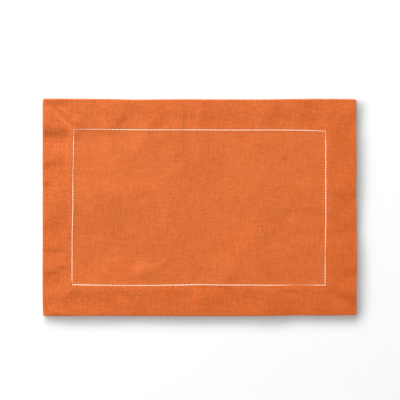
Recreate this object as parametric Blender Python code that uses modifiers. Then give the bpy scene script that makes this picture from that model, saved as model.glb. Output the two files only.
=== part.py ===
"""Hemstitched linen placemat: one cloth with a wide mitred hem and a drawn-thread row.

Metres, +Z up. The mat lies flat on z = 0 with its long side along X and its origin in the middle
of its underside. The hem is the same cloth turned to the back, so it is about twice as thick as
the field. The row where threads are drawn out is a shallow channel, as its gaps are under 3 mm.
"""
from collections import namedtuple
from math import copysign, cos, exp, hypot, radians, sin

import bmesh
import bpy
import numpy as np

MM = 0.001

# ---------------------------------------------------------------- driving dimensions
LENGTH = 480 * MM            # along X, from fold to fold
WIDTH = 331 * MM             # along Y, from fold to fold
HEM_WIDTH = 46.5 * MM        # outer fold to the middle of the drawn-thread row
ROW_WIDTH = 2.0 * MM         # height of the bare threads
FIELD_THICKNESS = 1.0 * MM   # one layer, with the slack of loosely woven linen
HEM_THICKNESS = 1.9 * MM     # face and turned-back layer
HEM_RISE = 9.0 * MM          # run over which the cloth climbs from the row onto the hem
ROW_DEPTH = 0.35 * MM        # how far the bare threads sink below the cloth beside them
ROW_LIP = 0.6 * MM           # run from the cloth's face down to the bare threads
CORNER_RADIUS = 3.5 * MM     # the turned-out corners, seen from above
FOLD_ROUNDING = 0.7 * MM     # the hem's outer fold, seen from the side
MITRE_HALF_WIDTH = 1.5 * MM  # half the width of the ridge over a mitre seam

# ---------------------------------------------------------------- mesh fineness
HEM_STEPS = 5                # strips between the corner rounding and the row
FIELD_PITCH = 8.5 * MM       # spacing of the field's points
FOLD_SEGMENTS = 2            # steps round the hem's outer fold
RIM_ANGLE = 60               # degrees; only the rim's edges turn more sharply than this

# ---------------------------------------------------------------- derived sizes
HALF_LENGTH = LENGTH / 2
HALF_WIDTH = WIDTH / 2
ROW_X = HALF_LENGTH - HEM_WIDTH
ROW_Y = HALF_WIDTH - HEM_WIDTH

LINEN_ORANGE = (0.73, 0.165, 0.042, 1.0)
LINEN_ROUGHNESS = 0.9

# How far each long line of the cloth strays outwards (mm) at even stations, read from the left
# end of a top or bottom line and from the lower end of a left or right one.
STATIONS = np.linspace(-1, 1, 11)
Bows = namedtuple("Bows", "left right bottom top")
EDGE_BOWS = Bows(
    left=(-0.35, 0.4, 0.4, 0.2, 0.2, 0.2, 0.2, 0.2, 0.2, 0.2, 0.2),
    right=(-0.4, -0.15, 0.5, 0.5, 0.3, -0.05, -0.6, -0.25, -0.4, -0.4, -0.65),
    bottom=(0.7, 0.7, 0.35, 0.6, 0.7, 0.7, 0.7, 0.65, -0.3, 0.0, -0.7),
    top=(0.7, 0.4, 0.0, -0.8, -0.3, -0.4, -0.5, -0.6, 0.0, 0.4, -0.1),
)
ROW_BOWS = Bows(
    left=(1.7, 2.2, 1.9, 1.85, 1.4, 0.6, 0.6, 0.6, 0.1, -0.1, -1.2),
    right=(-1.6, -1.6, -1.45, -1.0, -0.5, -0.5, -0.5, -0.5, -0.5, -0.5, -0.9),
    bottom=(-0.9, -0.2, 0.3, 0.3, -0.2, -1.0, -0.35, -0.3, -0.1, -0.5, -0.1),
    top=(0.6, 0.5, 0.0, -0.3, -0.3, -0.4, -0.65, -0.65, -0.5, -0.9, -2.1),
)

# Soft troughs (lift below 0) and ridges of the resting cloth: centre, direction of the crest in
# degrees from +X, half length, half width and height, all lengths in mm.
Fold = namedtuple("Fold", "place x y heading half_length half_width lift")
FOLDS = (
    Fold("left hem", -216, 107, 5, 24, 9, -0.34),
    Fold("left hem", -220, 84, 0, 20, 9, 0.16),
    Fold("left hem", -214, 64, -8, 20, 7, -0.20),
    Fold("left hem", -216, 38, 6, 20, 7, -0.18),
    Fold("left hem", -215, -27, -4, 22, 8, -0.20),
    Fold("left hem", -214, -65, 8, 20, 8, -0.22),
    Fold("left hem", -217, -99, 0, 20, 8, -0.18),
    Fold("right hem", 217, 14, 0, 20, 9, -0.20),
    Fold("right hem", 218, -27, 6, 20, 8, -0.18),
    Fold("right hem", 215, -99, -6, 20, 9, -0.20),
    Fold("top hem", -111, 144, 62, 22, 8, -0.18),
    Fold("top hem", -22, 143, 70, 20, 8, -0.18),
    Fold("top hem", 57, 144, 118, 22, 8, -0.20),
    Fold("top hem", 117, 143, 66, 20, 8, -0.18),
    Fold("top hem", 169, 142, 112, 20, 8, -0.18),
    Fold("bottom hem", -180, -145, 14, 16, 8, -0.22),
    Fold("bottom hem", -103, -143, 84, 18, 8, -0.18),
    Fold("bottom hem", 16, -143, 96, 18, 8, -0.18),
    Fold("bottom hem", 135, -145, 4, 30, 9, -0.20),
    Fold("field", -140, 20, -8, 60, 24, 0.22),
    Fold("field", -91, -92, 35, 18, 10, 0.24),
    Fold("field", -70, -102, 30, 24, 10, -0.20),
    Fold("field", 45, -88, 20, 26, 12, 0.18),
    Fold("field", 56, -106, 10, 30, 10, -0.16),
    Fold("field", 90, 40, 70, 60, 26, 0.14),
)

# Height (mm) of the ridge over each mitre seam, by the corner's side of the mat.
Mitre = namedtuple("Mitre", "corner x_side y_side lift")
MITRES = (
    Mitre("top left", -1, 1, 0.22),
    Mitre("top right", 1, 1, 0.10),
    Mitre("bottom left", -1, -1, 0.16),
    Mitre("bottom right", 1, -1, 0.10),
)


def clear_scene():
    """Remove whatever the scene holds."""
    for item in list(bpy.data.objects):
        bpy.data.objects.remove(item, do_unlink=True)


def linen():
    """Plain dyed linen."""
    material = bpy.data.materials.new("linen")
    material.use_nodes = True
    shader = material.node_tree.nodes["Principled BSDF"]
    shader.inputs["Base Color"].default_value = LINEN_ORANGE
    shader.inputs["Roughness"].default_value = LINEN_ROUGHNESS
    shader.inputs["Metallic"].default_value = 0.0
    return material


def grid_lines(half_size, row):
    """Return the places of the grid lines across the mat, from one outer fold to the other."""
    channel = ROW_WIDTH / 2
    rim = (half_size, half_size - CORNER_RADIUS / 2)
    hem = np.linspace(half_size - CORNER_RADIUS, row + channel + ROW_LIP, HEM_STEPS + 1)
    drawn = (row + channel, row - channel)
    outer = (*rim, *hem, *drawn)
    inner = row - channel - ROW_LIP
    field = np.linspace(-inner, inner, round(2 * inner / FIELD_PITCH) + 1)
    return sorted((*outer, *field, *(-place for place in outer)))


def past_row(x, y):
    """Return how far a point of the plan lies beyond the drawn-thread row."""
    return max(abs(x) - ROW_X, abs(y) - ROW_Y)


def hem_rise(x, y):
    """Return the climb from the field's level onto the hem's, as a smooth step."""
    step = min(max(past_row(x, y) / HEM_RISE, 0.0), 1.0)
    return (HEM_THICKNESS - FIELD_THICKNESS) * step * step * (3 - 2 * step)


def row_dip(x, y):
    """Return the drop into the channel of bare threads."""
    off_row = abs(past_row(x, y)) - ROW_WIDTH / 2
    return ROW_DEPTH * min(max(1 - off_row / ROW_LIP, 0.0), 1.0)


def fold_lift(fold, x, y):
    """Return one soft fold's height at a point."""
    turn = radians(fold.heading)
    dx = x / MM - fold.x
    dy = y / MM - fold.y
    along = (dx * cos(turn) + dy * sin(turn)) / fold.half_length
    across = (dy * cos(turn) - dx * sin(turn)) / fold.half_width
    return fold.lift * MM * exp(-along * along - across * across)


def mitre_lift(mitre, x, y):
    """Return the ridge over one mitre seam, which runs from the row's corner to the mat's."""
    along_x = mitre.x_side * x - ROW_X
    along_y = mitre.y_side * y - ROW_Y
    if min(along_x, along_y) < ROW_WIDTH:
        return 0.0
    return mitre.lift * MM * exp(-((along_x - along_y) / MITRE_HALF_WIDTH) ** 2)


def top_height(x, y):
    """Return the height of the cloth's face over a point of the plan."""
    folds = sum(fold_lift(fold, x, y) for fold in FOLDS)
    mitres = sum(mitre_lift(mitre, x, y) for mitre in MITRES)
    return FIELD_THICKNESS + hem_rise(x, y) - row_dip(x, y) + folds + mitres


def round_corner(x, y):
    """Draw the plan's four sharp corners in onto arcs of the corner radius."""
    over_x = abs(x) - (HALF_LENGTH - CORNER_RADIUS)
    over_y = abs(y) - (HALF_WIDTH - CORNER_RADIUS)
    if min(over_x, over_y) <= 0:
        return x, y
    pull = 1 - max(over_x, over_y) / hypot(over_x, over_y)
    return x - copysign(over_x * pull, x), y - copysign(over_y * pull, y)


def bow(offsets, station):
    """Return a line's outward offset at a station between -1 and 1."""
    return float(np.interp(station, STATIONS, offsets)) * MM


def stray(place, half_size, row, low_side, high_side, edge_station, row_station):
    """Return a point's shift across the mat, from the bows of the four lines around it."""
    lines = (-half_size, -row, row, half_size)
    shifts = (
        -bow(getattr(EDGE_BOWS, low_side), edge_station),
        -bow(getattr(ROW_BOWS, low_side), row_station),
        bow(getattr(ROW_BOWS, high_side), row_station),
        bow(getattr(EDGE_BOWS, high_side), edge_station),
    )
    return float(np.interp(place, lines, shifts))


def cloth_point(x, y):
    """Return where a point of the straight plan lies on the real, slightly bowed cloth."""
    plan_x, plan_y = round_corner(x, y)
    dx = stray(plan_x, HALF_LENGTH, ROW_X, "left", "right", y / HALF_WIDTH, y / ROW_Y)
    dy = stray(plan_y, HALF_WIDTH, ROW_Y, "bottom", "top", x / HALF_LENGTH, x / ROW_X)
    return plan_x + dx, plan_y + dy, top_height(x, y)


def lay_face(bm):
    """Lay the mat's face over a grid and return the points that lie on the mitre seams."""
    columns = grid_lines(HALF_LENGTH, ROW_X)
    rows = grid_lines(HALF_WIDTH, ROW_Y)
    last_column = len(columns) - 1
    last_row = len(rows) - 1
    bmesh.ops.create_grid(bm, x_segments=last_column, y_segments=last_row, size=0.5)
    on_mitres = []
    for vert in bm.verts:
        column = round((vert.co.x + 0.5) * last_column)
        row = round((vert.co.y + 0.5) * last_row)
        from_side = min(column, last_column - column)
        from_end = min(row, last_row - row)
        if from_side == from_end and abs(columns[column]) > ROW_X:
            on_mitres.append(vert)
        vert.co = cloth_point(columns[column], rows[row])
    return on_mitres


def crease_mitres(bm, on_mitres):
    """Split the squares on the mitre seams from corner to corner, so each ridge is an edge."""
    for face in list(bm.faces):
        ends = [vert for vert in face.verts if vert in on_mitres]
        if len(ends) == 2:
            bmesh.utils.face_split(face, *ends)


def close_underside(bm):
    """Close the face with a rim and a flat underside on z = 0."""
    pushed = bmesh.ops.extrude_face_region(bm, geom=list(bm.faces))["geom"]
    for vert in pushed:
        if isinstance(vert, bmesh.types.BMVert):
            vert.co.z = 0.0
    underside = [face for face in pushed if isinstance(face, bmesh.types.BMFace)]
    bmesh.ops.dissolve_faces(bm, faces=underside, use_verts=True)
    bmesh.ops.recalc_face_normals(bm, faces=list(bm.faces))


def build_placemat(collection):
    """Build the one cloth of the mat with the rounded outer fold of its hem."""
    bm = bmesh.new()
    on_mitres = set(lay_face(bm))
    crease_mitres(bm, on_mitres)
    close_underside(bm)
    mesh = bpy.data.meshes.new("placemat")
    bm.to_mesh(mesh)
    bm.free()
    mesh.shade_smooth()
    mesh.materials.append(linen())

    placemat = bpy.data.objects.new("placemat", mesh)
    collection.objects.link(placemat)
    outer_fold = placemat.modifiers.new("outer fold", "BEVEL")
    outer_fold.width = FOLD_ROUNDING
    outer_fold.segments = FOLD_SEGMENTS
    outer_fold.limit_method = "ANGLE"
    outer_fold.angle_limit = radians(RIM_ANGLE)
    return placemat


def main():
    """Build the placemat in a collection of its own."""
    clear_scene()
    collection = bpy.data.collections.new("placemat")
    bpy.context.scene.collection.children.link(collection)
    build_placemat(collection)


if __name__ == "__main__":
    main()
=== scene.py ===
"""Dress the hemstitched linen placemat: its cloth, its drawn-thread row, its sewing and a studio.

Metres, +Z up. The mat lies face up on z = 0 with its long side along X, where its solid lies. The
cloth is one sheet: the field, and the hem that is turned to the back, mitred and turned in. Bare
threads, tied into bars, cross the narrow open row between them.
"""

import logging
import math
from collections.abc import Callable
from dataclasses import dataclass, field
from enum import Enum

import bpy
import numpy as np
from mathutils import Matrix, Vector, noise


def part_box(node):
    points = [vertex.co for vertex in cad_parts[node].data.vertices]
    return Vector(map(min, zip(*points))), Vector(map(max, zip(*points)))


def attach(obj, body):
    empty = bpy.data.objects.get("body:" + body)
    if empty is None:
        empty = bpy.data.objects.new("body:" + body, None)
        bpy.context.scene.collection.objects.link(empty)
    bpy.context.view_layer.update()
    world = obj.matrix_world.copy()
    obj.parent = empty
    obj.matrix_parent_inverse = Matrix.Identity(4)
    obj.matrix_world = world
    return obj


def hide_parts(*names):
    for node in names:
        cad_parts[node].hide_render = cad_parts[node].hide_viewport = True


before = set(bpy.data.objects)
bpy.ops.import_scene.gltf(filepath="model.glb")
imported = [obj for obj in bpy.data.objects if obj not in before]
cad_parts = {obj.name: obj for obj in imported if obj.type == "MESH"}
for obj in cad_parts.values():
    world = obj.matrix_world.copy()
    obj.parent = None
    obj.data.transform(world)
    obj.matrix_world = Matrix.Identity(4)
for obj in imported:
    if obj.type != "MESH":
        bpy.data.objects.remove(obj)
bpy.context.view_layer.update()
LOG = logging.getLogger("placemat")

MM = 0.001
TINY = 1e-9  # a length that counts as none
NODE = "placemat"
BODY = "root"
# The mat's corners, as the side of the middle that each lies on, counted round it.
CORNERS = ((-1, -1), (1, -1), (1, 1), (-1, 1))


# ---------------------------------------------------------------- numbers over arrays
def smooth(step: np.ndarray) -> np.ndarray:
    """Ease a number from 0 to 1.

    Args:
        step: Numbers, clipped to 0 and 1.

    Returns:
        The same numbers on a soft S-curve.
    """
    step = np.clip(step, 0.0, 1.0)
    return step * step * (3 - 2 * step)


def between_stations(values: tuple[float, ...], station: np.ndarray) -> np.ndarray:
    """Read a line's values, which are set at even stations, with soft steps between them.

    Args:
        values: The values from one end of the line to the other.
        station: Places along the line, from -1 to 1.

    Returns:
        The value at each place.
    """
    table = np.asarray(values)
    place = (np.clip(station, -1, 1) + 1) / 2 * (len(table) - 1)
    low = np.minimum(place.astype(int), len(table) - 2)
    step = smooth(place - low)
    return table[low] * (1 - step) + table[low + 1] * step


def bell(distance: np.ndarray, half_width: float) -> np.ndarray:
    """Return a soft bump of height 1 that fades over its half width."""
    return np.exp(-np.square(distance / half_width))


def mottle(x: np.ndarray, y: np.ndarray, size: float, layer: float, octaves: int = 2) -> np.ndarray:
    """Return smooth unevenness over the plan.

    Args:
        x: Plan places along the mat.
        y: Plan places across the mat.
        size: Width of one patch.
        layer: Which slice of the pattern to read, so that two readings differ.
        octaves: How many finer patterns are added.

    Returns:
        Numbers around 0, mostly between -0.5 and 0.5.
    """
    places = zip(x.ravel() / size, y.ravel() / size)
    read = [noise.fractal((px, py, layer), 1.0, 2.0, octaves) for px, py in places]
    return np.array(read).reshape(x.shape)


# ---------------------------------------------------------------- the mat seen from above
class Side(Enum):
    """The mat's four sides, counted round it as its loop of stations runs."""

    BOTTOM = "bottom"
    RIGHT = "right"
    TOP = "top"
    LEFT = "left"


@dataclass(frozen=True)
class Lines:
    """One value for each station of four lines, one line on each side of the mat."""

    left: tuple[float, ...]
    right: tuple[float, ...]
    bottom: tuple[float, ...]
    top: tuple[float, ...]

    def at(self, side: Side, station: np.ndarray) -> np.ndarray:
        """Return the values at places from -1 to 1 along one side's line."""
        return between_stations(getattr(self, side.value), station)


@dataclass(frozen=True)
class MatPlan:
    """The mat's sizes from above, and how its lines stray from straight ones."""

    half_length: float
    half_width: float
    hem: float = 46.5 * MM
    gap: float = 0.88 * MM
    # How much shorter the resting mat is, at each end, than its solid.
    shorter: float = 0.16 * MM
    corner_radius: float = 3.0 * MM
    crowding_reach: float = 3.0 * MM
    # How far each line strays outwards, in mm at even stations, as measured on the photo and then
    # shifted a little. Long sides run from left to right, short ones from bottom to top.
    edge_bows: Lines = Lines(
        left=(-0.45, 0.3, 0.3, 0.1, 0.1, 0.1, 0.1, 0.1, 0.1, 0.1, 0.1),
        right=(0.05, -0.2, 0.3, 0.3, 0.1, -0.25, -0.8, -0.4, -0.55, -0.55, -0.8),
        bottom=(0.4, 0.4, 0.05, 0.3, 0.4, 0.4, 0.4, 0.35, -0.6, -0.3, -1),
        top=(0.7, 0.4, 0.0, -0.8, -0.3, -0.4, -0.5, -0.6, 0.0, 0.4, -0.1),
    )
    row_bows: Lines = Lines(
        left=(1.56, 2.06, 1.76, 1.71, 1.26, 0.46, 0.46, 0.46, -0.04, -0.24, -1.34),
        right=(-1.76, -1.76, -1.61, -1.16, -0.66, -0.66, -0.66, -0.66, -0.66, -0.66, -1.06),
        bottom=(-1.08, -0.38, 0.12, 0.12, -0.38, -1.18, -0.53, -0.48, -0.28, -0.68, -0.28),
        top=(0.55, 0.45, -0.05, -0.35, -0.35, -0.45, -0.7, -0.7, -0.55, -0.95, -2.15),
    )
    # How wide the row stands open, where 1 is its full width. A separate program set these values
    # from the row's brightness in the photo, before each side was scaled.
    openness: Lines = Lines(
        left=(0.41, 0.99, 0.77, 0.68, 0.83, 0.84, 0.93, 0.69, 0.67, 0.86, 0.53),
        right=(0.58, 0.75, 0.55, 0.76, 0.75, 0.82, 0.83, 0.71, 0.7, 0.77, 0.36),
        bottom=(0.94, 0.86, 0.73, 0.8, 0.86, 0.89, 0.73, 0.81, 0.71, 0.33, 0.68),
        top=(0.5, 0.58, 0.83, 0.83, 0.74, 0.79, 0.74, 0.74, 0.74, 0.77, 0.6),
    )

    @classmethod
    def from_solid(cls) -> "MatPlan":
        """Take the mat's length and width from its solid's box, less the widest bows.

        Returns:
            The plan.
        """
        low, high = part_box(NODE)
        widest = {side: max(getattr(cls.edge_bows, side.value)) * MM for side in Side}
        length = high[0] - low[0] - widest[Side.LEFT] - widest[Side.RIGHT]
        width = high[1] - low[1] - widest[Side.BOTTOM] - widest[Side.TOP]
        return cls(half_length=length / 2 - cls.shorter, half_width=width / 2)

    @property
    def row_x(self) -> float:
        """Half the length of the rectangle that the row runs round."""
        return self.half_length - self.hem

    @property
    def row_y(self) -> float:
        """Half the width of the rectangle that the row runs round."""
        return self.half_width - self.hem

    def past_row(self, x: np.ndarray, y: np.ndarray) -> np.ndarray:
        """Return how far each place lies outside the row's middle line."""
        return np.maximum(np.abs(x) - self.row_x, np.abs(y) - self.row_y)

    def off_mitre(self, x: np.ndarray, y: np.ndarray) -> np.ndarray:
        """Return how far each place of a hem corner lies from its mitre, below 0 on a long side."""
        return ((np.abs(x) - self.row_x) - (np.abs(y) - self.row_y)) / math.sqrt(2)

    def on_end_hems(self, x: np.ndarray, y: np.ndarray, blend: float) -> np.ndarray:
        """Return 1 on the left and right hems, 0 on the others, and a blend at the mitres."""
        return smooth(self.off_mitre(x, y) / blend + 0.5)

    def bend(self, x: np.ndarray, y: np.ndarray) -> tuple[np.ndarray, np.ndarray]:
        """Move places of the straight plan onto the real cloth.

        Args:
            x: Straight plan places along the mat.
            y: Straight plan places across the mat.

        Returns:
            The places with rounded corners, crowded threads and bowed lines.
        """
        round_x, round_y = self._round_corners(x, y)
        near_x = self._crowd(round_x, round_y, self.row_x, self.row_y, Side.LEFT, Side.RIGHT)
        near_y = self._crowd(round_y, round_x, self.row_y, self.row_x, Side.BOTTOM, Side.TOP)
        edge_station = (x / self.half_length, y / self.half_width)
        row_station = (x / self.row_x, y / self.row_y)
        shift_x = self._stray(near_x, self.half_length, self.row_x, Side.LEFT, Side.RIGHT,
                              edge_station[1], row_station[1])
        shift_y = self._stray(near_y, self.half_width, self.row_y, Side.BOTTOM, Side.TOP,
                              edge_station[0], row_station[0])
        return near_x + shift_x, near_y + shift_y

    def _round_corners(self, x: np.ndarray, y: np.ndarray) -> tuple[np.ndarray, np.ndarray]:
        """Draw the four sharp corners in onto arcs.

        Args:
            x: Plan places along the mat.
            y: Plan places across the mat.

        Returns:
            The places, moved near the corners only.
        """
        over_x = np.maximum(np.abs(x) - (self.half_length - self.corner_radius), 0.0)
        over_y = np.maximum(np.abs(y) - (self.half_width - self.corner_radius), 0.0)
        reach = np.hypot(over_x, over_y)
        inside = np.minimum(over_x, over_y) > 0
        pull = np.where(inside, 1 - np.maximum(over_x, over_y) / np.maximum(reach, TINY), 0.0)
        return x - np.sign(x) * over_x * pull, y - np.sign(y) * over_y * pull

    def _crowd(self, across: np.ndarray, along: np.ndarray, row_across: float, row_along: float,
               low: Side, high: Side) -> np.ndarray:
        """Pull both banks of the row together, or apart, where its threads crowd or spread.

        Args:
            across: Places across the row.
            along: Places along it.
            row_across: The row's distance from the middle.
            row_along: Half the row's length.
            low: The side whose row lies at places below 0.
            high: The side opposite.

        Returns:
            The places across the row.
        """
        off_row = np.abs(across) - row_across
        station = along / row_along
        openness = np.where(across < 0, self.openness.at(low, station),
                            self.openness.at(high, station))
        fade = np.exp(-np.maximum(np.abs(off_row) - self.gap, 0.0) / self.crowding_reach)
        in_span = 1 - smooth((np.abs(along) - row_along) / self.crowding_reach)
        pull = (1 - openness) * self.gap * fade * in_span
        return across - np.sign(across) * np.sign(off_row) * pull

    def _stray(self, place: np.ndarray, half_size: float, row: float, low: Side, high: Side,
               edge_station: np.ndarray, row_station: np.ndarray) -> np.ndarray:
        """Return each place's shift, blended from the bows of the four lines around it.

        Args:
            place: Places along one axis.
            half_size: Half the mat's size along that axis.
            row: The row's distance from the middle.
            low: The side at places below 0.
            high: The side opposite.
            edge_station: Places from -1 to 1 along the edges.
            row_station: Places from -1 to 1 along the rows.

        Returns:
            The shifts, in metres.
        """
        low_edge = -self.edge_bows.at(low, edge_station)
        low_row = -self.row_bows.at(low, row_station)
        high_row = self.row_bows.at(high, row_station)
        high_edge = self.edge_bows.at(high, edge_station)
        in_low = np.clip((place + half_size) / (half_size - row), 0, 1)
        in_field = np.clip((place + row) / (2 * row), 0, 1)
        in_high = np.clip((place - row) / (half_size - row), 0, 1)
        shift = low_edge + (low_row - low_edge) * in_low
        shift = shift + (high_row - low_row) * in_field
        return (shift + (high_edge - high_row) * in_high) * MM


# ---------------------------------------------------------------- the resting cloth's heights
@dataclass(frozen=True)
class Crease:
    """A soft slope that pressing left in the cloth, in mm and degrees.

    Seen along its heading the cloth falls from left to right by its drop, and comes back slowly on
    both sides. A drop below 0 rises instead.
    """

    x: float
    y: float
    heading: float
    half_length: float
    half_width: float
    drop: float
    reach: float = 3.4

    def height(self, x: np.ndarray, y: np.ndarray) -> np.ndarray:
        """Return the crease's height over the plan.

        Args:
            x: Plan places along the mat.
            y: Plan places across the mat.

        Returns:
            Heights, in metres.
        """
        turn = math.radians(self.heading)
        dx, dy = x / MM - self.x, y / MM - self.y
        along = dx * math.cos(turn) + dy * math.sin(turn)
        across = (dy * math.cos(turn) - dx * math.sin(turn)) / self.half_width
        slope = np.tanh(across) * bell(across, self.reach) / 2
        return self.drop * MM * bell(along, self.half_length) * slope


# The creases, as x, y, heading, half length, half width and drop. Separate programs fitted most of
# these rows to the photo's shading.
CREASES = tuple(Crease(*row) for row in (
    # Left hem
    (-262, 112, 90, 50, 30, -3),
    (-234, 35, 51, 6, 4, 1.2),
    (-230, 65, 22, 15, 4, 1),
    (-228, 116, 2, 34, 9.5, 2.1),
    (-227, 134, 75, 35, 8, 1.1),
    (-225, -28, 0, 28, 10, 1.5),
    (-225, -67, 0, 20, 4, 1.2),
    (-223, -102, 12, 22, 4, 1),
    (-222, 110.5, 0, 26, 5, 1.2),
    (-219, -126, 0, 15, 5, -0.9),
    (-219, 86, 24, 16, 14, -1.4),
    (-214, 40, 45, 22, 14, -1.1),
    (-206, -93, -14, 8, 2.5, 1.2),
    (-205, -141, 10, 45, 5, 0.6),
    (-203, 118, 36, 6, 3.5, 0.5),
    (-202, 81, -90, 32, 2.5, 0.9),
    # Top hem
    (-216, 160, 3, 20, 4.5, 1.3),
    (-209, 141, -45, 28, 3, 1.5),
    (-189, 136, 44, 6, 5.5, -1.8),
    (-150, 152, 48, 20, 10.5, -1.2),
    (-148, 131, 30, 9, 10, -2),
    (-122, 129, 62, 12, 5, 1.4),
    (-103, 152, 3, 18, 8, 1.2),
    (-65, 126, 8, 9, 6.5, 1.2),
    (-24, 130, -79, 10, 4, -1.8),
    (-3, 150, -90, 22, 4, 0.8),
    (0, 141, 0, 400, 8, 0.5),
    (10, 137, -75, 35, 14, -0.9),
    (86, 140, 30, 9, 14, -0.6),
    (114, 137, 58, 23, 8, 0.8),
    (168, 159, 41, 10, 6.5, 0.6),
    (193, 142, -90, 44, 6, 1),
    # Right hem
    (207, 22, -12, 15, 4, 0.7),
    (214, -133, -32, 18, 5, 1.7),
    (225, -47, -27, 13, 8, -1),
    (226, 80, 90, 45, 18, -0.6),
    (227, 14, 24, 18, 10.5, 1),
    (228, 130, 49, 15, 8, 1.1),
    (233, -26, 56, 7, 8.5, 0.6),
    (234, -99, -12, 11, 4, 1.1),
    (239, -138, 54, 12, 5.5, 1.3),
    # Bottom hem
    (-215, -164, -12, 18, 3, 1.1),
    (-185, -152, 0, 60, 18, -0.7),
    (-190, -129, 2, 11, 8, 1),
    (-153, -141, -7, 13, 8, 0.8),
    (-117, -129, -36, 14, 4, 1.7),
    (-13, -138, 21, 16, 8, -0.7),
    (-5, -139, -83, 16, 5, 1.2),
    (22, -121, -4, 20, 2.5, 1.2),
    (66, -138, 44, 11, 7.5, 0.7),
    (71, -123, -45, 22, 8, 1.6),
    (115, -150, 75, 34, 7, 0.7),
    (137, -149, -90, 28, 10, -1.2),
    (139, -128, -12, 14, 2.5, 0.9),
    (203, -159, -12, 23, 6.5, 0.7),
    # Field
    (-188, 108, 54, 11, 6.5, 1.4),
    (-168, -35, 0, 28, 12, 0.5),
    (-161, 52, 0, 34, 3, 0.32),
    (-160, -51, -30, 28, 14, 3.1),
    (-160, 58, 15, 35, 14, -0.9),
    (-154, -1, 30, 7, 10, 1),
    (-150, -18, -22, 46, 16, 3.3),
    (-150, 88, 16, 45, 16, -1.5),
    (-150, -47, -12, 20, 2.5, -0.4),
    (-140, -64, 87, 16, 10, 1.9),
    (-140, 102, 60, 11, 10, -1.2),
    (-136, 8, -45, 28, 10, 1.1),
    (-102, -7, -45, 35, 12, 1.5),
    (-98, -45, 12, 10, 5.5, 0.7),
    (-97, 105, -60, 35, 14, 1.7),
    (-96, 99, 46, 16, 8.5, -0.9),
    (-92, -93, 47, 12, 10, -2.3),
    (-88, 7, 15, 16, 3, -0.5),
    (-85, 36, -2, 17, 3.5, -0.4),
    (-81, -104, 22, 18, 5, 0.9),
    (-55, -82, 25, 14, 2.5, -0.6),
    (-55, 90, 72, 14, 4, -0.31),
    (-53, 104, 0, 9, 10.5, 0.8),
    (-36, 76, 28, 11, 4, 0.4),
    (-28, -18, -60, 35, 12, -1.2),
    (-25, 56, 68, 12, 3.5, 0.26),
    (-24, 105, -75, 28, 5, -0.9),
    (-16, 19, -60, 44, 14, -1.9),
    (28, -76, -63, 28, 12, 0.8),
    (39, -79, 32, 13, 10, -0.6),
    (51, -16, -60, 44, 14, 2.1),
    (52, -112, 0, 10, 8.5, 1.2),
    (59, 37, -75, 44, 14, 1.1),
    (74, -32, 75, 44, 14, -1.2),
    (77, 101, 80, 10, 10, -0.8),
    (109, -58, -48, 28, 14, -1.3),
    (111, -39, 35, 16, 4, 0.5),
    (130, 75, 44, 7, 5.5, 0.9),
    (137, -5, 0, 33, 4, 0.26),
    (141, -44, -90, 9, 12.5, -0.8),
    (143, -18, 32, 6, 4, -0.5),
    (148, 90, 30, 6, 4, 0.9),
    (161, 36, 60, 11, 10, -1),
    (166, -74, 15, 16, 14, 0.6),
    (178, -8, -12, 21, 4, 0.6),
))


def soft_floor(height: np.ndarray, lowest: np.ndarray, ease: float) -> np.ndarray:
    """Keep heights above a lowest level, with a rounded turn where they would meet it."""
    return lowest + ease * np.logaddexp(0.0, (height - lowest) / ease)


@dataclass(frozen=True)
class HemLevels:
    """Middle heights of a hem's face layer: beside the row, and past its turned-in edge."""

    at_row: float
    past_turn_in: float


@dataclass(frozen=True)
class Mitre:
    """The ridge that a mitre seam raises in the hem's face, at one corner of the mat."""

    x_side: int
    y_side: int
    aside: float
    lift: float
    # How far a painted highlight pales the threads along the ridge.
    painted_light: float
    from_row: float
    to_row: float


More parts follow.
